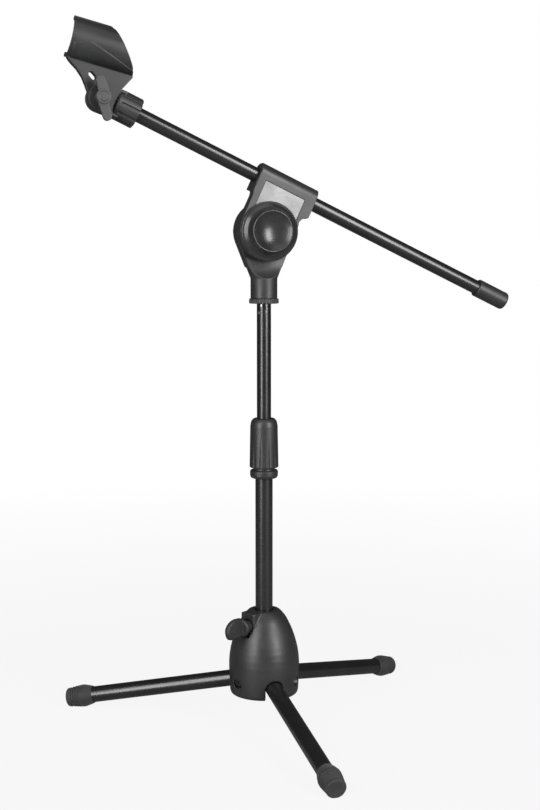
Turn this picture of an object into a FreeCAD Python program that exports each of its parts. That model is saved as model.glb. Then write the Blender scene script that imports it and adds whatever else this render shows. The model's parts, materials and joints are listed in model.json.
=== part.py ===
import FreeCAD, Part
import math
import os

# Short boom microphone stand.  Millimetres.
# Origin: on the floor, under the axis of the pole.  Z is up, X points towards
# the low end of the boom, and the clamp knob faces -Y.

os.makedirs("parts", exist_ok=True)

V = FreeCAD.Vector
X_AXIS = V(1, 0, 0)
Y_AXIS = V(0, 1, 0)
Z_AXIS = V(0, 0, 1)
GAP = 0.3          # air between pieces of different bodies
FIT = 0.05         # radial clearance of a pin or tube that turns or slides

# ---- base housing
BASE_BOTTOM = 28.5
BASE_TOP = 107.2
# radius of the bell at a few heights, from the bottom rim upwards; the wall
# follows arcs, each through three neighbours of this list
BELL = [(31.9, 31.0), (32.3, 38.6), (32.8, 52.0), (31.9, 67.4), (29.8, 77.0),
        (26.7, 86.6), (22.4, 96.1), (17.8, 103.2), (15.2, 105.9)]
BELL_STEPS = 5            # points along each arc
BELL_RIM_R = 31.0
BELL_TOP_R = 12.8
BUSH_R = 9.5
BUSH_Z0 = 54.3
BUSH_Z1 = 97.0

# ---- legs
LEG_AZIMUTHS = (-90.0, 30.0, 150.0)
LEG_SLOPE = 10.8          # degrees below level when spread
LEG_ROOT_Z = 44.9         # height where the leg axes meet the pole axis
LEG_REACH = 198.0         # pole axis to the end of the foot, along the leg
LEG_R = 7.55
LEG_WALL = 1.0
HINGE_R = 19.5            # distance of the hinge pin from the pole axis
SLOT_HALF = 8.1
HEEL_R = 8.6
FOOT_LENGTH = 26.5
FOOT_R = 10.5

# ---- thumb screw on the base
THUMB_AZIMUTH = 210.0
THUMB_Z = 95.0
BOSS_END = 22.8
BOSS_HALF = 8.4
PADDLE_HALF = 2.5

# ---- poles and clutch
LOWER_R = 8.0
LOWER_WALL = 1.0
LOWER_Z0 = 56.0
RING_Z0 = 230.9
RING_Z1 = 238.4
RING_R = 12.9
GRIP_Z0 = 240.9
GRIP_Z1 = 286.4
GRIP_R0 = 13.3
GRIP_R1 = 12.5
UPPER_R = 6.5
UPPER_WALL = 1.0
UPPER_Z0 = 150.0
UPPER_Z1 = 409.0

# ---- swivel neck
NECK_Z0 = 395.8
NECK_Z1 = 414.0
NECK_R = 12.2
LOCK_Z0 = 391.4
LOCK_R = 13.5

# ---- boom clamp, drawn level about its tilt axis and then tilted
TILT = 25.0
TILT_Z = 456.2            # height of the tilt axis
DISC_R = 27.0
SPLIT_W = 4.65            # joint face, measured from the pole axis to the knob
TONGUE_BACK_W = -8.0
CLAMP_FRONT_W = 16.0
BOOM_W = 4.0
BOOM_V = 41.7             # boom axis above the tilt axis
BLOCK_HALF = 28.7
BLOCK_TOP_V = 53.7
BLOCK_LOW_V = 26.3
BOLT_R = 4.0
SHOE_R = 3.2              # brake shoe that presses on the boom rod
SHOE_W = 8.0

# ---- boom rod, u is the distance along the boom from the tilt axis
BOOM_R = 6.5
BOOM_U0 = -159.5
BOOM_U1 = 240.0
CAP_U0 = 212.8
CAP_U1 = 245.6
CAP_R = 8.4
FERRULE_R = 7.8

# ---- clip base and clip
SOCKET_R = 13.5
SOCKET_U0 = -169.5
SOCKET_U1 = -147.8
CLIP_U = -182.4           # clip tilt axis
CLIP_V = BOOM_V - 2.5
CLIP_TURN = 11.5          # the trough lies this much flatter than the boom
WEB_HALF = 4.2
CHEEK_OUT = 9.2
CHEEK_R = 11.4
TROUGH_R = 16.8
TROUGH_WALL = 2.5
TROUGH_Q = 43.2           # trough axis above the clip tilt axis


def cyl(r, h, base, axis=Z_AXIS):
    return Part.makeCylinder(r, h, V(*base), axis)


def tube(r_out, r_in, h, base, axis=Z_AXIS):
    outer = cyl(r_out, h, base, axis)
    start = V(*base) - axis * 1.0
    return outer.cut(Part.makeCylinder(r_in, h + 2.0, start, axis))


def box(x0, x1, y0, y1, z0, z1):
    return Part.makeBox(x1 - x0, y1 - y0, z1 - z0, V(x0, y0, z0))


def turned(points):
    """Solid of revolution about Z from a closed outline of (radius, height)."""
    pts = [V(r, 0, z) for r, z in points]
    wire = Part.makePolygon(pts + [pts[0]])
    return Part.Face(wire).revolve(V(0, 0, 0), Z_AXIS, 360)


def along_x(shape):
    """Turn a solid drawn up the Z axis so that it runs along +X."""
    out = shape.copy()
    out.rotate(V(0, 0, 0), Y_AXIS, 90)
    return out


def moved(shape, x=0.0, y=0.0, z=0.0):
    out = shape.copy()
    out.translate(V(x, y, z))
    return out


def spun(shape, angle, axis=Z_AXIS, centre=(0, 0, 0)):
    out = shape.copy()
    out.rotate(V(*centre), axis, angle)
    return out


def plate_xz(points, y0, y1):
    """Flat plate with a polygon outline in XZ, between two Y levels."""
    pts = [V(x, y0, z) for x, z in points]
    wire = Part.makePolygon(pts + [pts[0]])
    return Part.Face(wire).extrude(V(0, y1 - y0, 0))


def hull_xz(c0, r0, c1, r1, y0, y1):
    """Plate whose outline is two circles joined by their outer tangents."""
    dx, dz = c1[0] - c0[0], c1[1] - c0[1]
    dist = math.hypot(dx, dz)
    lean = math.atan2(dz, dx)
    open_angle = math.acos((r0 - r1) / dist)
    pts = []
    for centre, r, side in ((c0, r0, 1), (c1, r1, 1), (c1, r1, -1), (c0, r0, -1)):
        a = lean + side * open_angle
        pts.append((centre[0] + r * math.cos(a), centre[1] + r * math.sin(a)))
    body = plate_xz(pts, y0, y1)
    for centre, r in ((c0, r0), (c1, r1)):
        body = body.fuse(cyl(r, y1 - y0, (centre[0], y0, centre[1]), Y_AXIS))
    return body.removeSplitter()


def hexagon(r, y0, y1):
    """Hexagonal bar along Y; r reaches its corners."""
    corners = [(r * math.cos(math.radians(60 * k)), r * math.sin(math.radians(60 * k)))
               for k in range(6)]
    return plate_xz(corners, y0, y1)


def soften(shape, radius, keep):
    """Fillet every edge for which keep(edge) is true."""
    edges = [e for e in shape.Edges if keep(e)]
    return shape.makeFillet(radius, edges)


def parallel(edge, axis):
    ends = [v.Point for v in edge.Vertexes]
    if len(ends) != 2:
        return False
    line = ends[1].sub(ends[0])
    return line.Length > 1e-6 and abs(line.normalize().dot(axis)) > 0.999


def save(name, shape):
    if not shape.isValid():
        raise RuntimeError(name + " is not a valid shape")
    shape.exportStep("parts/%s.step" % name)


# ==== base housing ============================================================
def leg_frame(shape, azimuth):
    """Take a piece drawn along +X from the leg root into its spread place."""
    out = spun(shape, LEG_SLOPE, Y_AXIS)
    out = spun(out, azimuth)
    return moved(out, z=LEG_ROOT_Z)


HINGE_Z = LEG_ROOT_Z - HINGE_R * math.tan(math.radians(LEG_SLOPE))


def bell():
    """Solid bell built of short cones, with a chamfered rim and shoulder."""
    outline = [(0, BASE_BOTTOM), (BELL_RIM_R, BASE_BOTTOM)]
    for k in range(0, len(BELL) - 2, 2):
        arc = Part.Arc(*[V(r, 0, z) for r, z in BELL[k:k + 3]]).toShape()
        outline += [(p.x, p.z) for p in arc.discretize(BELL_STEPS)[:-1]]
    outline += [BELL[-1], (BELL_TOP_R + 1.4, BASE_TOP - 0.4), (BELL_TOP_R, BASE_TOP), (0, BASE_TOP)]
    return turned(outline)


def thumb_place(shape):
    """From +X outwards at the origin to the thumb screw axis."""
    return moved(spun(shape, THUMB_AZIMUTH), z=THUMB_Z)


def base_housing():
    boss = box(6.0, BOSS_END, -BOSS_HALF, BOSS_HALF, -9.0, BASE_TOP - THUMB_Z)
    corner = soften(boss, 1.6, lambda e: parallel(e, Z_AXIS) and e.CenterOfMass.x > 20)
    body = bell().fuse(thumb_place(corner))
    seat = cyl(6.4, 30.0, (BOSS_END - 3.2, 0, 0), X_AXIS)
    seat = seat.fuse(box(BOSS_END - 3.2, 60.0, -4.9, 4.9, -9.5, 0.0))
    body = body.cut(thumb_place(seat))
    body = body.cut(thumb_place(cyl(4.0, 20.0, (6.0, 0, 0), X_AXIS)))
    body = body.cut(cyl(BUSH_R + FIT, BUSH_Z1 - BASE_BOTTOM + 1.0, (0, 0, BASE_BOTTOM - 1.0)))
    body = body.cut(cyl(LOWER_R + 0.6, 60.0, (0, 0, BASE_TOP - 30.0)))
    hollow = turned([(11.5, BASE_BOTTOM - 1), (28.6, BASE_BOTTOM - 1), (28.6, 56.0), (24.0, 70.0),
                     (17.0, 82.0), (11.5, 84.0)])
    for azimuth in LEG_AZIMUTHS:
        rib = box(8.0, 30.5, -SLOT_HALF - 3.0, SLOT_HALF + 3.0, BASE_BOTTOM - 2, 60.0)
        hollow = hollow.cut(spun(rib, azimuth))
    ribs = box(8.0, 30.0, -3.0, 3.0, BASE_BOTTOM - 2, 90.0)
    for azimuth in (-30.0, 90.0):
        hollow = hollow.cut(spun(ribs, azimuth))
    hollow = hollow.cut(thumb_place(box(6.0, 27.0, -7.5, 7.5, -40.0, 9.0)))
    body = body.cut(hollow)
    for azimuth in LEG_AZIMUTHS:
        arch = cyl(SLOT_HALF, 40.0, (8.0, 0, 0), X_AXIS)
        slot = box(8.0, 48.0, -SLOT_HALF, SLOT_HALF, -30.0, 0.0)
        body = body.cut(leg_frame(arch, azimuth)).cut(leg_frame(slot, azimuth))
        pocket = cyl(HEEL_R + 0.9, 2 * SLOT_HALF, (HINGE_R, -SLOT_HALF, HINGE_Z), Y_AXIS)
        pin_way = cyl(2.5 + FIT, 34.0, (HINGE_R, -13.0, HINGE_Z), Y_AXIS)
        mouth = cyl(4.3, 40.0, (HINGE_R, 17.0, HINGE_Z), Y_AXIS)
        for tool in (pocket, pin_way, mouth):
            body = body.cut(spun(tool, azimuth))
    return body


def hinge_pin():
    pin = cyl(2.5, 29.0, (HINGE_R, -12.7, HINGE_Z), Y_AXIS)
    head = cyl(4.1, 2.4, (HINGE_R, 17.05, HINGE_Z), Y_AXIS)
    neck = cyl(2.5, 1.0, (HINGE_R, 16.2, HINGE_Z), Y_AXIS)
    drive = cyl(1.5, 2.0, (HINGE_R, 18.0, HINGE_Z), Y_AXIS)
    return pin.fuse(neck).fuse(head).cut(drive)


def pole_bush():
    body = tube(BUSH_R, LOWER_R + FIT, BUSH_Z1 - BUSH_Z0 - 0.1, (0, 0, BUSH_Z0))
    return body.cut(thumb_place(cyl(3.4, 20.0, (6.0, 0, 0), X_AXIS)))


def thumb_insert():
    x0, x1 = 10.6, 19.0
    return thumb_place(tube(3.95, 3.05, x1 - x0, (x0, 0, 0), X_AXIS))


save("base_housing", base_housing())
save("pole_bush", pole_bush())
save("leg_hinge_pins", Part.makeCompound([spun(hinge_pin(), a) for a in LEG_AZIMUTHS]))
save("thumb_screw_insert", thumb_insert())


# ==== thumb screw =============================================================
def thumb_wing():
    """Hub, round flange and a flat D-shaped paddle on the screw axis."""
    hub = cyl(6.0, 11.0, (BOSS_END - 2.6, 0, 0), X_AXIS)
    flange = turned([(0, 0), (7.2, 0), (8.2, 1.0), (8.2, 2.6), (7.2, 3.6), (0, 3.6)])
    flange = moved(along_x(flange), x=BOSS_END + 5.0)
    outline = [(7.6, -6.6), (7.6, 7.4), (9.3, 9.6), (15.4, 9.9), (19.6, 9.2), (22.9, 7.8),
               (25.8, 5.5), (27.5, 2.9), (28.2, 0.2), (27.8, -2.8), (26.8, -5.6),
               (25.0, -7.5), (22.6, -8.1), (17.4, -7.9), (9.6, -7.3)]
    paddle = plate_xz([(BOSS_END + x, z) for x, z in outline], -PADDLE_HALF, PADDLE_HALF)
    face_edges = [e for e in paddle.Edges if not parallel(e, Y_AXIS)]
    paddle = paddle.makeChamfer(1.0, face_edges)
    body = hub.fuse(flange).fuse(paddle)
    body = body.cut(cyl(3.02, 5.0, (BOSS_END - 3.0, 0, 0), X_AXIS))
    return thumb_place(spun(body, 4, X_AXIS))


def thumb_shank():
    start = 8.3
    return thumb_place(cyl(3.0, BOSS_END + 1.8 - start, (start, 0, 0), X_AXIS))


save("thumb_screw_wing", thumb_wing())
save("thumb_screw_shank", thumb_shank())


# ==== legs ====================================================================
TUBE_START = HINGE_R / math.cos(math.radians(LEG_SLOPE)) - 5.0
TUBE_END = LEG_REACH - 2.5
PIN_X = HINGE_R / math.cos(math.radians(LEG_SLOPE))


def leg_tube():
    body = tube(LEG_R, LEG_R - LEG_WALL, TUBE_END - TUBE_START, (TUBE_START, 0, 0), X_AXIS)
    return body.cut(cyl(2.5 + FIT, 20.0, (PIN_X, -10.0, 0), Y_AXIS))


def leg_plug():
    r = LEG_R - LEG_WALL - 0.02
    body = cyl(r, 24.0 + HEEL_R, (PIN_X - HEEL_R, 0, 0), X_AXIS)
    heel = cyl(HEEL_R, 2 * r, (PIN_X, -r, 0), Y_AXIS)
    heel = heel.fuse(box(PIN_X, PIN_X + 30.0, -r, r, -r, r))
    body = body.common(heel)
    return body.cut(cyl(2.5 + FIT, 20.0, (PIN_X, -10.0, 0), Y_AXIS))


def leg_foot():
    end = FOOT_LENGTH
    outline = [(0, 0), (7.9, 0), (8.3, 0.5), (9.6, 5.0), (FOOT_R, 9.0), (FOOT_R, 11.5)]
    ridge = 12.6
    while ridge < end - 3.4:
        r = FOOT_R - 0.11 * (ridge - 11.5) ** 1.1
        outline += [(r, ridge), (r - 0.75, ridge + 0.5), (r - 0.75, ridge + 1.1), (r - 0.12, ridge + 1.6)]
        ridge += 2.7
    outline += [(8.9, end - 1.4), (8.1, end - 0.4), (7.2, end), (0, end)]
    body = along_x(turned(outline))
    body = moved(body, x=LEG_REACH - end)
    return body.cut(cyl(LEG_R + 0.03, end - 2.4, (LEG_REACH - end - 0.1, 0, 0), X_AXIS))


FLOOR = box(-400, 400, -400, 400, -60.0, 0.0)
for number, azimuth in enumerate(LEG_AZIMUTHS, 1):
    save("leg_%d_tube" % number, leg_frame(leg_tube(), azimuth))
    save("leg_%d_hinge_plug" % number, leg_frame(leg_plug(), azimuth))
    save("leg_%d_foot" % number, leg_frame(leg_foot(), azimuth).cut(FLOOR))


# ==== lower pole and clutch ===================================================
COLLAR_TOP = 276.0
LOWER_TOP = 262.0
save("lower_pole_tube", tube(LOWER_R, LOWER_R - LOWER_WALL, LOWER_TOP - LOWER_Z0 - 2.0,
                             (0, 0, LOWER_Z0 + 2.0)))
save("lower_pole_plug", turned([(0, LOWER_Z0), (7.9, LOWER_Z0), (7.9, LOWER_Z0 + 1.9),
                                (6.9, LOWER_Z0 + 1.9), (6.9, LOWER_Z0 + 12), (0, LOWER_Z0 + 12)]))


def clutch_collar():
    body = turned([
        (LOWER_R + 0.02, RING_Z0), (RING_R - 2.2, RING_Z0), (RING_R - 0.8, RING_Z0 + 0.7),
        (RING_R, RING_Z0 + 2.6), (RING_R, RING_Z1 - 0.9), (RING_R - 0.7, RING_Z1),
        (10.0, RING_Z1), (10.0, 243.0), (9.6, 243.4), (9.6, LOWER_TOP + 1.5),
        (8.0, LOWER_TOP + 5.0), (7.5, COLLAR_TOP), (UPPER_R + FIT, COLLAR_TOP),
        (UPPER_R + FIT, LOWER_TOP + 0.1), (LOWER_R + 0.02, LOWER_TOP + 0.1),
    ])
    for k in range(3):
        split = box(0, 12.0, -0.6, 0.6, LOWER_TOP + 2.0, COLLAR_TOP + 1)
        body = body.cut(spun(split, 60.0 * k)).cut(spun(split, 60.0 * k + 180))
    return body


def clutch_grip():
    body = turned([
        (9.95, GRIP_Z0 + 2.6), (10.3, GRIP_Z0 + 2.6), (10.3, GRIP_Z0), (GRIP_R0 - 0.6, GRIP_Z0),
        (GRIP_R0, GRIP_Z0 + 0.8), (GRIP_R1 + 0.1, GRIP_Z1 - 7.0), (GRIP_R1 - 0.6, GRIP_Z1 - 3.2),
        (GRIP_R1 - 2.0, GRIP_Z1 - 0.9), (GRIP_R1 - 3.6, GRIP_Z1), (UPPER_R + 0.5, GRIP_Z1),
        (UPPER_R + 0.5, COLLAR_TOP + 3.0), (7.9, COLLAR_TOP + 2.0), (8.4, LOWER_TOP + 5.2),
        (9.95, LOWER_TOP + 1.9),
    ])
    for k in range(12):
        a = math.radians(30.0 * k)
        far = GRIP_R0 + 2.55
        groove = cyl(3.1, 60.0, (far * math.cos(a), far * math.sin(a), GRIP_Z0 - 5.0))
        body = body.cut(groove)
    return body


save("clutch_collar", clutch_collar())
save("clutch_grip_sleeve", clutch_grip())


# ==== upper pole ==============================================================
save("upper_pole_tube", tube(UPPER_R, UPPER_R - UPPER_WALL, UPPER_Z1 - UPPER_Z0 - 14.0,
                             (0, 0, UPPER_Z0 + 14.0)))
save("upper_pole_guide", turned([(0, UPPER_Z0), (6.2, UPPER_Z0), (6.9, UPPER_Z0 + 1.5),
                                 (6.9, UPPER_Z0 + 13.9), (5.4, UPPER_Z0 + 13.9),
                                 (5.4, UPPER_Z0 + 26), (0, UPPER_Z0 + 26)]))
save("upper_pole_stud", turned([(0, UPPER_Z1 - 20), (5.4, UPPER_Z1 - 20), (5.4, UPPER_Z1 + 0.1),
                                (6.4, UPPER_Z1 + 0.1), (6.4, UPPER_Z1 + 2.5), (0, UPPER_Z1 + 2.5)]))


# ==== boom head ===============================================================
def tilt_level(shape):
    """From the tilt axis at the origin to its height on the pole."""
    return moved(shape, z=TILT_Z)


def neck():
    drop = NECK_Z1 - TILT_Z
    tongue = hull_xz((0, 0), DISC_R - 0.15, (0, drop + 3.0), NECK_R, -SPLIT_W + GAP / 2, -TONGUE_BACK_W)
    low = cyl(NECK_R, NECK_Z1 - NECK_Z0, (0, 0, NECK_Z0 - TILT_Z))
    flare = Part.makeCone(NECK_R, 24.0, 30.0, V(0, 0, drop))
    keep = hull_xz((0, 0), DISC_R - 0.15, (0, drop + 3.0), NECK_R, -NECK_R, NECK_R)
    flare = flare.common(keep)
    front_scoop = cyl(24.0, 80.0, (-40.0, -SPLIT_W + GAP / 2 - 24.0, drop + 17.5), X_AXIS)
    front_all = box(-40, 40, -60.0, -SPLIT_W + GAP / 2, drop + 17.5, drop + 120)
    back_scoop = cyl(30.0, 80.0, (-40.0, -TONGUE_BACK_W + 30.0, drop + 15.5), X_AXIS)
    back_all = box(-40, 40, -TONGUE_BACK_W, 60.0, drop + 15.5, drop + 120)
    flare = flare.cut(front_scoop).cut(front_all).cut(back_scoop).cut(back_all)
    body = low.fuse(flare).fuse(tongue.cut(box(-40, 40, -40, 40, drop - 20, drop + 10)))
    sweep = cyl(DISC_R + 0.6, 30.0, (0, -SPLIT_W + GAP / 2 - 30.0, 0), Y_AXIS)
    body = body.cut(sweep)
    body = body.cut(cyl(UPPER_R + FIT, UPPER_Z1 + 3.0 - NECK_Z0 + 1, (0, 0, NECK_Z0 - 1 - TILT_Z)))
    body = body.cut(cyl(BOLT_R + FIT, 60.0, (0, -30, 0), Y_AXIS))
    return tilt_level(body.cut(hexagon(7.6, 2.6, 22.6)))


def lock_ring():
    low, high, bevel = LOCK_Z0, NECK_Z0, 0.5
    body = turned([(UPPER_R + 0.5, low), (LOCK_R - bevel, low), (LOCK_R, low + bevel),
                   (LOCK_R, high - bevel), (LOCK_R - bevel, high), (UPPER_R + 0.5, high)])
    notch = cyl(0.62, high - low + 2.0, (LOCK_R + 0.2, 0, low - 1.0))
    for k in range(36):
        body = body.cut(spun(notch, 10.0 * k))
    return body


def clamp_bolt():
    shaft = cyl(BOLT_R, 23.0, (0, -20.0, 0), Y_AXIS)
    return tilt_level(hexagon(7.4, 2.8, 7.4).fuse(shaft))


save("swivel_neck", neck())
save("neck_lock_ring", lock_ring())
save("clamp_bolt", clamp_bolt())


# ==== boom clamp ==============================================================
def tilted(shape):
    """From the level clamp frame to the boom's working tilt."""
    return moved(spun(shape, TILT, Y_AXIS), z=TILT_Z)


def clamp_block():
    front, back = -CLAMP_FRONT_W, -BOOM_W + (CLAMP_FRONT_W - BOOM_W)
    barrel = box(-BLOCK_HALF, BLOCK_HALF, front, back, DISC_R + 0.9, BLOCK_TOP_V)
    barrel = soften(barrel, 9.0,
                    lambda e: parallel(e, X_AXIS) and e.CenterOfMass.z > BLOCK_TOP_V - 1)
    lower = plate_xz([(-27.4, 0), (27.0, 0), (23.5, 13.5), (22.2, 19.5), (23.6, 23.0),
                      (BLOCK_HALF - 0.9, BLOCK_LOW_V - 0.9), (BLOCK_HALF, BLOCK_LOW_V + 0.5),
                      (BLOCK_HALF, DISC_R + 3.0), (-BLOCK_HALF, DISC_R + 3.0),
                      (-BLOCK_HALF, BLOCK_LOW_V + 0.2), (-BLOCK_HALF + 0.6, BLOCK_LOW_V - 1.0),
                      (-27.4, 22.5)], front, -SPLIT_W)
    disc = cyl(DISC_R, CLAMP_FRONT_W - SPLIT_W, (0, front, 0), Y_AXIS)
    sides = plate_xz([(-27.4, 0), (-27.4, 4.0), (-26.0, 4.0), (-26.0, 0)], front, -SPLIT_W)
    body = barrel.fuse(lower).fuse(disc).fuse(sides).removeSplitter()
    body = body.cut(cyl(BOOM_R + FIT, 80.0, (-40, -BOOM_W, BOOM_V), X_AXIS))
    body = body.cut(box(-21.4, 18.6, front - 1, front + 0.8, 12.0, BOOM_V - 2.4))
    body = body.cut(cyl(BOLT_R + FIT, 60.0, (0, -40, 0), Y_AXIS))
    shoe_way = cyl(SHOE_R + FIT, BOOM_V - 21.0, (0, -SHOE_W, 21.0), Z_AXIS)
    body = body.cut(shoe_way)
    return body


def label_plate():
    return box(-21.3, 18.5, -CLAMP_FRONT_W + 0.3, -CLAMP_FRONT_W + 0.78, 12.1, BOOM_V - 2.5)


def brake_shoe():
    body = cyl(SHOE_R, 18.0, (0, -SHOE_W, 21.1), Z_AXIS)
    return body.cut(cyl(BOOM_R + GAP, 40.0, (-20, -BOOM_W, BOOM_V), X_AXIS))


save("boom_clamp_block", tilted(clamp_block()))
save("clamp_label_plate", tilted(label_plate()))
save("boom_brake_shoe", tilted(brake_shoe()))


# ==== clamp knob ==============================================================
def clamp_knob():
    outline = [
        (0, 16.0 + GAP), (26.2, 16.0 + GAP), (26.5, 16.7), (26.5, 17.9), (26.0, 18.5),
        (24.2, 19.2), (21.4, 21.6), (19.9, 24.0), (19.4, 25.8), (18.9, 27.2), (18.2, 28.0),
    ]
    dish_r = 28.0
    rim = 17.8
    level = math.sqrt(dish_r ** 2 - rim ** 2)
    steps = 10
    for k in range(steps + 1):
        r = rim * (1 - k / steps)
        outline.append((r, 28.0 - (math.sqrt(dish_r ** 2 - r ** 2) - level)))
    body = turned(outline)
    body = body.cut(cyl(7.1, 5.4, (0, 0, 15.0)))
    return spun(body, 90, X_AXIS)


def knob_insert():
    body = tube(6.95, BOLT_R + 0.06, 3.4, (0, 0, 16.0 + GAP))
    return spun(body, 90, X_AXIS)


save("clamp_knob", tilt_level(clamp_knob()))
save("clamp_knob_insert", tilt_level(knob_insert()))


# ==== boom ====================================================================
def on_boom(shape):
    """From the X axis to the boom axis, at the working tilt."""
    return tilted(moved(shape, y=-BOOM_W, z=BOOM_V))


def end_cap():
    length = CAP_U1 - CAP_U0
    outline = [(BOOM_R + 0.02, 0), (CAP_R - 0.7, 0), (CAP_R, 0.7), (CAP_R, length - 1.6),
               (CAP_R - 0.5, length - 0.5), (CAP_R - 1.6, length), (0, length), (0, length - 4.0),
               (BOOM_R + 0.02, length - 4.0)]
    return moved(along_x(turned(outline)), x=CAP_U0)


save("boom_rod", on_boom(tube(BOOM_R, BOOM_R - 1.0, BOOM_U1 - BOOM_U0, (BOOM_U0, 0, 0), X_AXIS)))
save("boom_end_cap", on_boom(end_cap()))
save("boom_ferrule", on_boom(tube(FERRULE_R, BOOM_R + 0.02, 11.0, (BOOM_U0, 0, 0), X_AXIS)))


# ==== clip base ===============================================================
def clip_base():
    length = SOCKET_U1 - SOCKET_U0
    barrel = turned([(0, 0), (SOCKET_R - 1.2, 0), (SOCKET_R, 1.4), (SOCKET_R, length - 0.5),
                     (SOCKET_R - 0.5, length), (0, length)])
    barrel = moved(along_x(barrel), x=SOCKET_U0)
    for k in range(10):
        start = SOCKET_U0 + 5.0
        groove = box(start, SOCKET_U1 + 2, -1.5, 1.5, SOCKET_R - 1.5, SOCKET_R + 3)
        groove = groove.fuse(cyl(1.5, 6.0, (start, 0, SOCKET_R - 1.5)))
        barrel = barrel.cut(spun(groove, 36.0 * k + 18.0, X_AXIS))
    drop = CLIP_V - BOOM_V
    out = CHEEK_OUT
    fork = hull_xz((CLIP_U, drop), CHEEK_R, (SOCKET_U0 + 5.0, 0), SOCKET_R - 1.4, -out, out)
    fork = fork.common(box(CLIP_U - 20, SOCKET_U0 + 6.0, -out, out, -20, 20))
    gap_half = WEB_HALF + GAP
    slit = box(CLIP_U - 30, CLIP_U + 11.0, -gap_half, gap_half, -30, 30)
    ramp = plate_xz([(CLIP_U, drop - 11), (CLIP_U + 11.0, drop - 11.0), (CLIP_U + 11.0, drop),
                     (CLIP_U + 20.0, 15.0), (CLIP_U + 20.0, 30.0), (CLIP_U, 30.0)],
                    -gap_half, gap_half)
    body = barrel.fuse(fork).cut(slit).cut(ramp)
    body = body.cut(cyl(8.4, 30.0, (BOOM_U0 - GAP, 0, 0), X_AXIS))
    body = body.cut(cyl(2.5 + FIT, 60.0, (CLIP_U, -30, drop), Y_AXIS))
    return on_boom(body)


def clip_thread():
    return on_boom(tube(8.35, FERRULE_R + FIT, 11.0, (BOOM_U0 - 0.25, 0, 0), X_AXIS))


save("clip_base_socket", clip_base())
save("clip_base_thread", clip_thread())


# ==== microphone clip =========================================================
def at_clip(shape):
    """From the clip's own frame, tilt axis at the origin, to its place."""
    return tilted(moved(spun(shape, -CLIP_TURN, Y_AXIS), x=CLIP_U, y=-BOOM_W, z=CLIP_V))


CLIP_P0 = -36.4
CLIP_P1 = 23.3
# the trough wraps from one lip to the other; angles from the far side upwards
LIP_ANGLES = (97.0, 303.0)
LIP_R = 2.1


def trough_point(r, angle):
    """Y and Z of a point of the trough's round section."""
    a = math.radians(angle)
    return r * math.cos(a), TROUGH_Q + r * math.sin(a)


def mic_clip():
    length = CLIP_P1 - CLIP_P0
    start = V(CLIP_P0, 0, TROUGH_Q)
    grow = 0.6
    outer = Part.makeCone(TROUGH_R, TROUGH_R + grow, length, start, X_AXIS)
    thick = Part.makeCone(TROUGH_R + 0.7, TROUGH_R + grow + 0.7, length, start, X_AXIS)
    below = plate_xz([(CLIP_P0 + 3.5, 0), (CLIP_P0 + 3.5, 37.0), (-20.0, 41.3), (18.6, 29.0),
                      (CLIP_P1 + 1, 27.6), (CLIP_P1 + 1, 0)], -30, 30)
    shell = outer.fuse(thick.common(below))
    # the opening, a wedge from the trough axis outwards
    middle = (LIP_ANGLES[0] + LIP_ANGLES[1] - 360.0) / 2
    corners = [trough_point(60.0, a) for a in (LIP_ANGLES[0], middle + 25.0, middle - 25.0,
                                               LIP_ANGLES[1])]
    corners = [(0, TROUGH_Q)] + corners + [(0, TROUGH_Q)]
    mouth = Part.Face(Part.makePolygon([V(CLIP_P0 - 5, y, z) for y, z in corners]))
    shell = shell.cut(mouth.extrude(V(length + 10, 0, 0)))
    for angle in LIP_ANGLES:
        y, z = trough_point(TROUGH_R - 0.5, angle)
        shell = shell.fuse(cyl(LIP_R, length, (CLIP_P0, y, z), X_AXIS))
    web = plate_xz([(CLIP_P0 + 1.0, TROUGH_Q - 12.0), (CLIP_P0 + 1.0, 26.4), (-33.6, 24.4),
                    (-30.7, 22.2), (-25.0, 18.6), (-19.1, 13.2), (-15.0, 7.6), (-10.2, 0.0),
                    (10.2, 0.0), (13.2, 6.0), (16.6, 12.5), (CLIP_P1, 24.2),
                    (CLIP_P1, TROUGH_Q - 12.0)], -WEB_HALF, WEB_HALF)
    web = web.fuse(cyl(10.4, 2 * WEB_HALF, (0, -WEB_HALF, 0), Y_AXIS))
    body = shell.fuse(web)
    body = body.cut(cyl(TROUGH_R - TROUGH_WALL, length + 2, (CLIP_P0 - 1, 0, TROUGH_Q), X_AXIS))
    slant = plate_xz([(-4.9, 80.0), (-4.9, 61.6), (-3.4, 61.1), (-1.9, 60.0), (-0.7, 58.9),
                      (1.2, 56.4), (20.0, 31.1), (23.4, 24.2), (40.0, 24.2), (40.0, 80.0)],
                     -40, 40)
    body = body.cut(slant)
    body = body.cut(cyl(2.5 + FIT, 60.0, (0, -30, 0), Y_AXIS))
    return at_clip(body.cut(hull_xz((-12.5, 17.4), 2.1, (-9.7, 15.4), 2.1, -10, 10)))


save("mic_clip", mic_clip())


# ==== wing screw ==============================================================
def wing_knob():
    y0, y1 = -CHEEK_OUT - GAP - 9.6, -CHEEK_OUT - GAP
    hub = cyl(6.3, y1 - y0, (0, y0, 0), Y_AXIS)
    blade0, blade1 = y0 + 0.9, y0 + 4.9
    upper = hull_xz((1.4, 1.0), 4.6, (-2.3, 13.6), 4.0, blade0, blade1)
    lower = hull_xz((-1.4, -1.0), 4.6, (3.1, -16.5), 3.7, blade0, blade1)
    body = hub.fuse(upper).fuse(lower).removeSplitter()
    body = body.cut(tube(4.6, 3.7, 0.6, (0, y0 - 0.2, 0), Y_AXIS))
    body = body.cut(cyl(2.52, 8.0, (0, y1 - 8.0, 0), Y_AXIS))
    return moved(body, y=-BOOM_W)


def wing_shank():
    """Screw through both cheeks, from inside the knob to beyond the nut."""
    reach = CHEEK_OUT + GAP + 7.8
    return cyl(2.5, reach + CHEEK_OUT + 5.5, (0, -BOOM_W - reach, 0), Y_AXIS)


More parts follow.
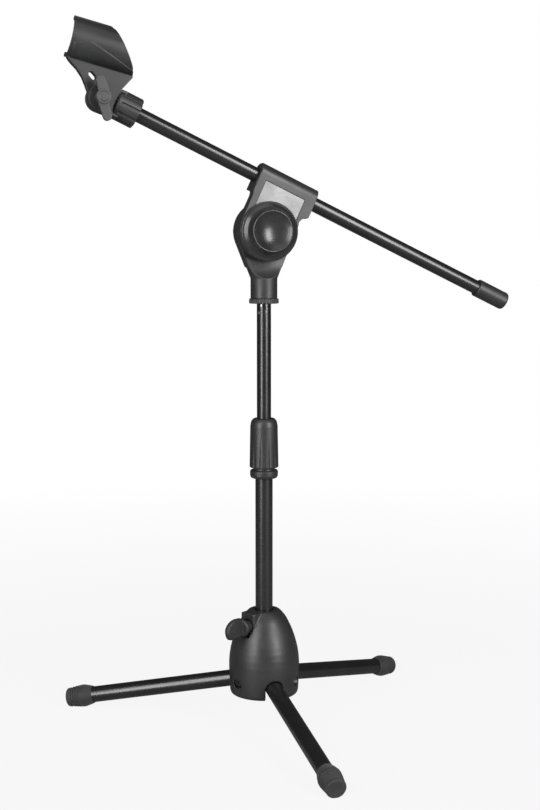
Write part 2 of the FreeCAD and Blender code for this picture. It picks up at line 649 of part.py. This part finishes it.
def wing_nut():
    start = -BOOM_W + CHEEK_OUT + 0.02
    return hexagon(5.0, start, start + 4.0).cut(cyl(2.5 + 0.02, 40.0, (0, -20, 0), Y_AXIS))


def at_wing(shape):
    """The wing screw is drawn upright in its own frame."""
    centre = V(CLIP_U, 0, CLIP_V)
    turn = FreeCAD.Rotation(Y_AXIS, TILT)
    spot = turn.multVec(centre)
    return moved(shape, x=spot.x, z=spot.z + TILT_Z)


save("wing_screw_knob", at_wing(wing_knob()))
save("wing_screw_shank", at_wing(wing_shank()))
save("wing_screw_nut", at_wing(wing_nut()))
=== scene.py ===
import json
import math

import bmesh
import bpy
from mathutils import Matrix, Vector


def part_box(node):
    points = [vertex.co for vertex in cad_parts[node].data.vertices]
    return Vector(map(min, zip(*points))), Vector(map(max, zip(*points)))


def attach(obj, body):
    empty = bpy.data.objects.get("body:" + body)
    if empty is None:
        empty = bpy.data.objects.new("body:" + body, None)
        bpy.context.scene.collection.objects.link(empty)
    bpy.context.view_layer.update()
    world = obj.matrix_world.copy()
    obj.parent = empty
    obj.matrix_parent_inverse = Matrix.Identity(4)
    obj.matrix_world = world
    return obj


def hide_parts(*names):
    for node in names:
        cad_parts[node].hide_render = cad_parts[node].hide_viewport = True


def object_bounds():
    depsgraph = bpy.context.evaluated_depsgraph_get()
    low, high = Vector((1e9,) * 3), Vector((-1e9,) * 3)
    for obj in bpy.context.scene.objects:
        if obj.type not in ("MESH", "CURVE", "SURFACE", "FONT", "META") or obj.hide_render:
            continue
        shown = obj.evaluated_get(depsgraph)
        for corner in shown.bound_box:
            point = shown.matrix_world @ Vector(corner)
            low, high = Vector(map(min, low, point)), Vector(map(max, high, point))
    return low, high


# Looks of the short boom microphone stand: moulded parts get their soft edges
# here, and every surface gets a procedural finish.  Metres, in the CAD frame.

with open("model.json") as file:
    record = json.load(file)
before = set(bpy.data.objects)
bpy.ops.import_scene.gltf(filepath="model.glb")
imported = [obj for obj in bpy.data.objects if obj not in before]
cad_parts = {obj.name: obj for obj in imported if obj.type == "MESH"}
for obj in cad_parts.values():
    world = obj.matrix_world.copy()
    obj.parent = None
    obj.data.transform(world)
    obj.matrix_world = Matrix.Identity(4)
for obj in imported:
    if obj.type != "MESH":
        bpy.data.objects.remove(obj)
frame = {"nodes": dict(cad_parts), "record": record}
cad_low, cad_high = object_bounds()

MM = 0.001
RECORD = frame["record"]
BODY_OF = {n: body for body, nodes in RECORD["behaviour"]["bodies"].items() for n in nodes}
SLOT_OF = {part["node"]: part["material_slot"] for part in RECORD["subparts"]}


# ---------------------------------------------------------------- materials
class Tree:
    """A short way to write a node tree."""

    def __init__(self, name):
        self.material = bpy.data.materials.new(name)
        self.material.use_nodes = True
        self.nodes = self.material.node_tree.nodes
        self.links = self.material.node_tree.links
        self.shader = self.nodes["Principled BSDF"]
        self.place = self.add("ShaderNodeTexCoord").outputs["Object"]

    def add(self, kind, **settings):
        node = self.nodes.new(kind)
        for key, value in settings.items():
            setattr(node, key, value)
        return node

    def link(self, start, end):
        self.links.new(start, end)

    def stretched(self, scale, turn=(0, 0, 0)):
        node = self.add("ShaderNodeMapping")
        node.inputs["Scale"].default_value = scale
        node.inputs["Rotation"].default_value = [math.radians(a) for a in turn]
        self.link(self.place, node.inputs["Vector"])
        return node.outputs["Vector"]

    def noise(self, scale, detail=3.0, rough=0.55, place=None):
        node = self.add("ShaderNodeTexNoise")
        node.inputs["Scale"].default_value = scale
        node.inputs["Detail"].default_value = detail
        node.inputs["Roughness"].default_value = rough
        self.link(place or self.place, node.inputs["Vector"])
        return node.outputs["Fac"]

    def ramp(self, value, low, high, start=0.0, end=1.0):
        """A value mapped from low..high to start..end, and held beyond them."""
        node = self.add("ShaderNodeMapRange", clamp=True)
        for name, number in (("From Min", low), ("From Max", high), ("To Min", start), ("To Max", end)):
            node.inputs[name].default_value = number
        self.link(value, node.inputs["Value"])
        return node.outputs["Result"]

    def math(self, operation, a, b):
        node = self.add("ShaderNodeMath", operation=operation)
        for socket, value in zip(node.inputs, (a, b)):
            if isinstance(value, (int, float)):
                socket.default_value = value
            else:
                self.link(value, socket)
        return node.outputs["Value"]

    def mix(self, factor, a, b):
        node = self.add("ShaderNodeMix", data_type="RGBA")
        self.link(factor, node.inputs["Factor"])
        for socket, value in ((node.inputs["A"], a), (node.inputs["B"], b)):
            if isinstance(value, bpy.types.NodeSocket):
                self.link(value, socket)
            else:
                socket.default_value = (*value, 1)
        return node.outputs["Result"]

    def bump(self, height, strength, distance, under=None):
        node = self.add("ShaderNodeBump")
        node.inputs["Strength"].default_value = strength
        node.inputs["Distance"].default_value = distance
        self.link(height, node.inputs["Height"])
        if under is not None:
            self.link(under, node.inputs["Normal"])
        return node.outputs["Normal"]

    def set(self, **sockets):
        for name, value in sockets.items():
            socket = self.shader.inputs[name.replace("_", " ")]
            if isinstance(value, bpy.types.NodeSocket):
                self.link(value, socket)
            else:
                socket.default_value = value


def grey(level, tint=0.0):
    return (level * (1 - tint), level, level * (1 + tint))


def moulded_plastic(name, level, rough, edge_wear_and_highlight, grain=1500.0, relief=0.30):
    """Black moulded plastic: fine spark-eroded grain, cloudy sheen, and convex edges painted lighter:
    rubbed wear, and on the clamp knob's ring a painted highlight.
    """
    t = Tree(name)
    cloud = t.noise(38.0, 4.0)
    speck = t.noise(620.0, 2.0)
    base = t.mix(t.ramp(cloud, 0.34, 0.68), grey(level * 0.84, 0.01), grey(level * 1.18, 0.01))
    dusty = t.mix(t.ramp(speck, 0.63, 0.74, 0.0, 0.35), base, grey(level * 2.1))
    edge = t.add("ShaderNodeNewGeometry").outputs["Pointiness"]
    # convex edges painted lighter: rubbed wear, and on the clamp knob's face ring a painted highlight
    rub = t.math("MULTIPLY", t.ramp(edge, 0.515, 0.60), t.ramp(t.noise(210.0, 4.0), 0.30, 0.62, 0.25, 1.0))
    t.set(Base_Color=t.mix(rub, dusty, grey(edge_wear_and_highlight)))
    gloss = t.ramp(cloud, 0.30, 0.72, rough - 0.055, rough + 0.055)
    t.set(Roughness=t.math("SUBTRACT", gloss, t.math("MULTIPLY", rub, 0.10)))
    fine = t.bump(t.noise(grain, 2.0, 0.6), strength=relief, distance=0.00006)
    t.set(Normal=t.bump(cloud, strength=0.12, distance=0.0005, under=fine))
    return t.material


def tube_paint(name, level, rough, worn_heights=None):
    """Gloss black powder coat, cloudy and specked, and chipped to bare metal between two heights."""
    t = Tree(name)
    cloud = t.noise(24.0, 4.0)
    wave = t.noise(45.0, 1.0, 0.4)
    speck = t.noise(900.0, 2.0)
    base = t.mix(t.ramp(cloud, 0.35, 0.7), grey(level * 0.8, 0.02), grey(level * 1.25, 0.02))
    colour = t.mix(t.ramp(speck, 0.68, 0.78, 0.0, 0.22), base, grey(level * 3.0))
    gloss = t.ramp(t.noise(40.0, 2.0, 0.5), 0.32, 0.72, rough - 0.02, rough + 0.04)
    if worn_heights:
        low, high = worn_heights
        axis = t.add("ShaderNodeSeparateXYZ")
        t.link(t.place, axis.inputs["Vector"])
        height = axis.outputs["Z"]
        span = high - low
        band = t.math("MULTIPLY", t.ramp(height, low, low + 0.35 * span),
                      t.ramp(height, high - 0.25 * span, high, 1.0, 0.0))
        chips = t.ramp(t.noise(430.0, 2.0, 0.5, t.stretched((1.0, 1.0, 0.45))), 0.58, 0.66)
        bare = t.math("MULTIPLY", band, chips)
        colour = t.mix(bare, colour, grey(0.55))
        gloss = t.math("ADD", gloss, t.math("MULTIPLY", bare, 0.06))
        t.set(Metallic=t.math("MULTIPLY", bare, 0.9))
    t.set(Base_Color=colour, Roughness=gloss, Normal=t.bump(wave, strength=0.05, distance=0.00001))
    t.set(Coat_Weight=0.15, Coat_Roughness=0.25)
    return t.material


def soft_rubber(name, level):
    """Matt rubber with a dry bloom and dust held in its grooves."""
    t = Tree(name)
    cloud = t.noise(95.0, 4.0)
    pit = t.add("ShaderNodeNewGeometry").outputs["Pointiness"]
    bloom = t.mix(t.ramp(cloud, 0.36, 0.70), grey(level * 0.8), grey(level * 1.45))
    dust = t.math("MULTIPLY", t.ramp(pit, 0.40, 0.49, 0.55, 0.0), t.ramp(t.noise(260.0), 0.35, 0.6))
    rub = t.ramp(pit, 0.53, 0.62, 0.0, 0.55)
    t.set(Base_Color=t.mix(rub, t.mix(dust, bloom, grey(level * 3.0)), grey(level * 2.3)))
    t.set(Roughness=t.ramp(cloud, 0.30, 0.70, 0.66, 0.84))
    t.set(Normal=t.bump(t.noise(1300.0, 2.0), strength=0.35, distance=0.00009))
    t.set(Sheen_Weight=0.12, Sheen_Roughness=0.5)
    return t.material


def plated_steel(name, level):
    """Dull zinc plating with a fine turned finish."""
    t = Tree(name)
    cloud = t.noise(160.0, 4.0)
    t.set(Base_Color=t.mix(t.ramp(cloud, 0.35, 0.70), grey(level * 0.82, -0.01), grey(level, 0.02)))
    t.set(Metallic=1.0, Roughness=t.ramp(cloud, 0.30, 0.72, 0.26, 0.46))
    t.set(Normal=t.bump(t.noise(1900.0, 2.0), strength=0.18, distance=0.00005))
    return t.material


def brushed_plate(name, level, turn):
    """The blank grey inlay: brushed along the boom, with cloudy handling marks."""
    t = Tree(name)
    lines = t.noise(60.0, 3.0, 0.6, t.stretched((1.2, 1.0, 34.0), turn))
    cloud = t.noise(52.0, 2.0)
    base = t.mix(t.ramp(cloud, 0.34, 0.66), grey(level * 0.72), grey(level * 1.18))
    t.set(Base_Color=t.mix(t.ramp(lines, 0.40, 0.62, 0.0, 0.35), base, grey(level * 1.45)))
    t.set(Metallic=0.35, Roughness=t.ramp(lines, 0.35, 0.65, 0.34, 0.50))
    t.set(Normal=t.bump(lines, strength=0.20, distance=0.00006))
    return t.material


BOOM_SLOPE = 25         # degrees
TUBE_GREY = 0.007
TUBE_ROUGHNESS = 0.28
WORN_BELOW_RING = 0.010
WORN_INTO_RING = 0.001

MATERIALS = {
    "moulded_black": moulded_plastic("moulded_black", level=0.016, rough=0.44, edge_wear_and_highlight=0.050, relief=0.15),
    "black_tube": tube_paint("black_tube", TUBE_GREY, TUBE_ROUGHNESS),
    "black_rubber": soft_rubber("black_rubber", level=0.014),
    "nylon": moulded_plastic("nylon", level=0.030, rough=0.52, edge_wear_and_highlight=0.06, grain=900.0),
    "zinc_steel": plated_steel("zinc_steel", level=0.45),
    "grey_plate": brushed_plate("grey_plate", level=0.16, turn=(0, BOOM_SLOPE, 0)),
    "satin_plastic": moulded_plastic("satin_plastic", level=0.030, rough=0.42, edge_wear_and_highlight=0.07, relief=0.15),
}
# nodes whose finish differs from the rest of their slot
SPECIAL = {
    # the knob's lighter edge grey paints the highlight on its face ring as well as rubbed wear
    "clamp_knob": moulded_plastic("knob_black", level=0.017, rough=0.29, edge_wear_and_highlight=0.08, relief=0.10),
    "leg_hinge_pins": plated_steel("blackened_steel", level=0.04),
}


def finish_of(node):
    return SPECIAL.get(node, MATERIALS[SLOT_OF[node]])


def dress(obj, material):
    obj.data.materials.clear()
    obj.data.materials.append(material)
    for face in obj.data.polygons:
        face.material_index = 0


# ---------------------------------------------------------------- pieces
WELD_DISTANCE = 0.002 * MM
SMOOTH_FACTOR = 0.5


def moulded(node, material, voxel, rounds):
    """The CAD node's shape with the small radii of a moulded part, as a new piece in its place."""
    piece = bpy.data.objects.new(node + "_moulded", frame["nodes"][node].data.copy())
    bpy.context.scene.collection.objects.link(piece)
    mesh = bmesh.new()
    mesh.from_mesh(piece.data)
    bmesh.ops.remove_doubles(mesh, verts=mesh.verts, dist=WELD_DISTANCE)
    mesh.to_mesh(piece.data)
    mesh.free()
    remesh = piece.modifiers.new("skin", "REMESH")
    remesh.mode = "VOXEL"
    remesh.voxel_size = voxel * MM
    smooth = piece.modifiers.new("radii", "SMOOTH")
    smooth.factor = SMOOTH_FACTOR
    smooth.iterations = rounds
    evaluated = piece.evaluated_get(bpy.context.evaluated_depsgraph_get())
    shaped = bpy.data.meshes.new_from_object(evaluated)
    piece.modifiers.clear()
    piece.data = shaped
    shaped.shade_smooth()
    dress(piece, material)
    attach(piece, BODY_OF[node])
    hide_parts(node)


MOULDED = {
    # node: (voxel in mm, smoothing rounds)
    "base_housing": (0.55, 12),
    "thumb_screw_wing": (0.28, 6),
    "clutch_collar": (0.28, 3),
    "clutch_grip_sleeve": (0.28, 5),
    "swivel_neck": (0.40, 6),
    "neck_lock_ring": (0.20, 2),
    "boom_clamp_block": (0.40, 5),
    "clamp_knob": (0.30, 3),
    "boom_end_cap": (0.25, 4),
    "clip_base_socket": (0.30, 3),
    "mic_clip": (0.30, 4),
    "wing_screw_knob": (0.22, 5),
    "leg_1_foot": (0.25, 3),
    "leg_2_foot": (0.25, 3),
    "leg_3_foot": (0.25, 3),
}
for node, (voxel, rounds) in MOULDED.items():
    moulded(node, finish_of(node), voxel, rounds)

ring_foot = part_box("neck_lock_ring")[0].z
SPECIAL["upper_pole_tube"] = tube_paint("black_tube_worn", TUBE_GREY, TUBE_ROUGHNESS,
                                        (ring_foot - WORN_BELOW_RING, ring_foot + WORN_INTO_RING))
for node, obj in frame["nodes"].items():
    if node not in MOULDED:
        dress(obj, finish_of(node))

# ---------------------------------------------------------------- stage
CAMERA_PLACE = Vector((-0.3735, -1.1821, 0.4433))
CAMERA_HEADING = math.radians(72.21)
CAMERA_DIP = math.radians(6.666)
CAMERA_LENS = 60.53
SENSOR_WIDTH = 36.0
CLIP_START = 0.01

FLOOR_RADIUS = 3.0
FLOOR_SIDES = 96
FLOOR_GREY = 0.30
FLOOR_ROUGHNESS = 0.9
PAPER_FADE = (0.35, 1.3)        # distances from the stand where the floor starts and ends turning white
PAPER_GLOW = (0.90, 1.0)        # how much of the seen floor is plain white at those distances
WHITE = (1, 1, 1, 1)
SKY_LIGHT = 0.07                # strength of the surroundings as a light
SKY_SEEN = 1.0                  # and as the camera sees them


def add_to_scene(obj):
    bpy.context.scene.collection.objects.link(obj)


def direction(heading, elevation):
    """A unit vector from a heading about Z and an elevation, both in radians."""
    flat = math.cos(elevation)
    return Vector((flat * math.cos(heading), flat * math.sin(heading), math.sin(elevation)))


def aim(obj, way):
    """Point a camera or a lamp, which both look along their own -Z."""
    obj.rotation_mode = "QUATERNION"
    obj.rotation_quaternion = way.to_track_quat("-Z", "Y")


def set_camera():
    camera = bpy.data.objects.new("camera", bpy.data.cameras.new("camera"))
    camera.data.lens = CAMERA_LENS
    camera.data.sensor_width = SENSOR_WIDTH
    camera.data.clip_start = CLIP_START
    camera.location = CAMERA_PLACE
    aim(camera, direction(CAMERA_HEADING, -CAMERA_DIP))
    add_to_scene(camera)
    bpy.context.scene.camera = camera


def studio_paper():
    """Paper that the camera sees as white, with a tenth of its own shading left near the stand."""
    t = Tree("studio_paper")
    distance = t.add("ShaderNodeVectorMath", operation="LENGTH")
    t.link(t.place, distance.inputs[0])
    white = t.ramp(distance.outputs["Value"], *PAPER_FADE, *PAPER_GLOW)
    seen = t.add("ShaderNodeLightPath").outputs["Is Camera Ray"]
    glow = t.add("ShaderNodeEmission")
    glow.inputs["Color"].default_value = WHITE
    glow.inputs["Strength"].default_value = 1.0
    blend = t.add("ShaderNodeMixShader")
    t.link(t.math("MULTIPLY", seen, white), blend.inputs["Fac"])
    t.link(t.shader.outputs["BSDF"], blend.inputs[1])
    t.link(glow.outputs["Emission"], blend.inputs[2])
    t.link(blend.outputs["Shader"], t.nodes["Material Output"].inputs["Surface"])
    t.set(Base_Color=(*grey(FLOOR_GREY), 1), Roughness=FLOOR_ROUGHNESS)
    return t.material


def lay_floor():
    mesh = bpy.data.meshes.new("floor")
    disc = bmesh.new()
    bmesh.ops.create_circle(disc, cap_ends=True, segments=FLOOR_SIDES, radius=FLOOR_RADIUS)
    disc.to_mesh(mesh)
    disc.free()
    floor = bpy.data.objects.new("floor", mesh)
    add_to_scene(floor)
    floor.data.materials.append(studio_paper())


def set_world():
    """White to the camera, dim as a light."""
    world = bpy.data.worlds.new("studio")
    bpy.context.scene.world = world
    world.use_nodes = True
    sky = world.node_tree.nodes["Background"]
    path = world.node_tree.nodes.new("ShaderNodeLightPath")
    level = world.node_tree.nodes.new("ShaderNodeMapRange")
    level.inputs["To Min"].default_value = SKY_LIGHT
    level.inputs["To Max"].default_value = SKY_SEEN
    world.node_tree.links.new(path.outputs["Is Camera Ray"], level.inputs["Value"])
    world.node_tree.links.new(level.outputs["Result"], sky.inputs["Strength"])
    sky.inputs["Color"].default_value = WHITE


def softbox(name, bearing, elevation, distance, width, height, power):
    """An area light aimed at the middle of the stand; bearing is from the camera's side, to the right."""
    way = direction(CAMERA_HEADING + math.pi + math.radians(bearing), math.radians(elevation))
    lamp = bpy.data.lights.new(name, "AREA")
    lamp.shape = "RECTANGLE"
    lamp.size = width
    lamp.size_y = height
    lamp.energy = power
    obj = bpy.data.objects.new(name, lamp)
    obj.location = (cad_low + cad_high) / 2 + way * distance
    aim(obj, -way)
    add_to_scene(obj)


set_camera()
lay_floor()
set_world()
softbox("left_softbox", bearing=-40, elevation=14, distance=1.7, width=0.55, height=1.60, power=34)
softbox("right_softbox", bearing=46, elevation=17, distance=1.7, width=0.60, height=1.20, power=36)
softbox("top_softbox", bearing=0, elevation=72, distance=1.6, width=1.2, height=1.2, power=5)
bpy.context.scene.view_settings.view_transform = "Standard"
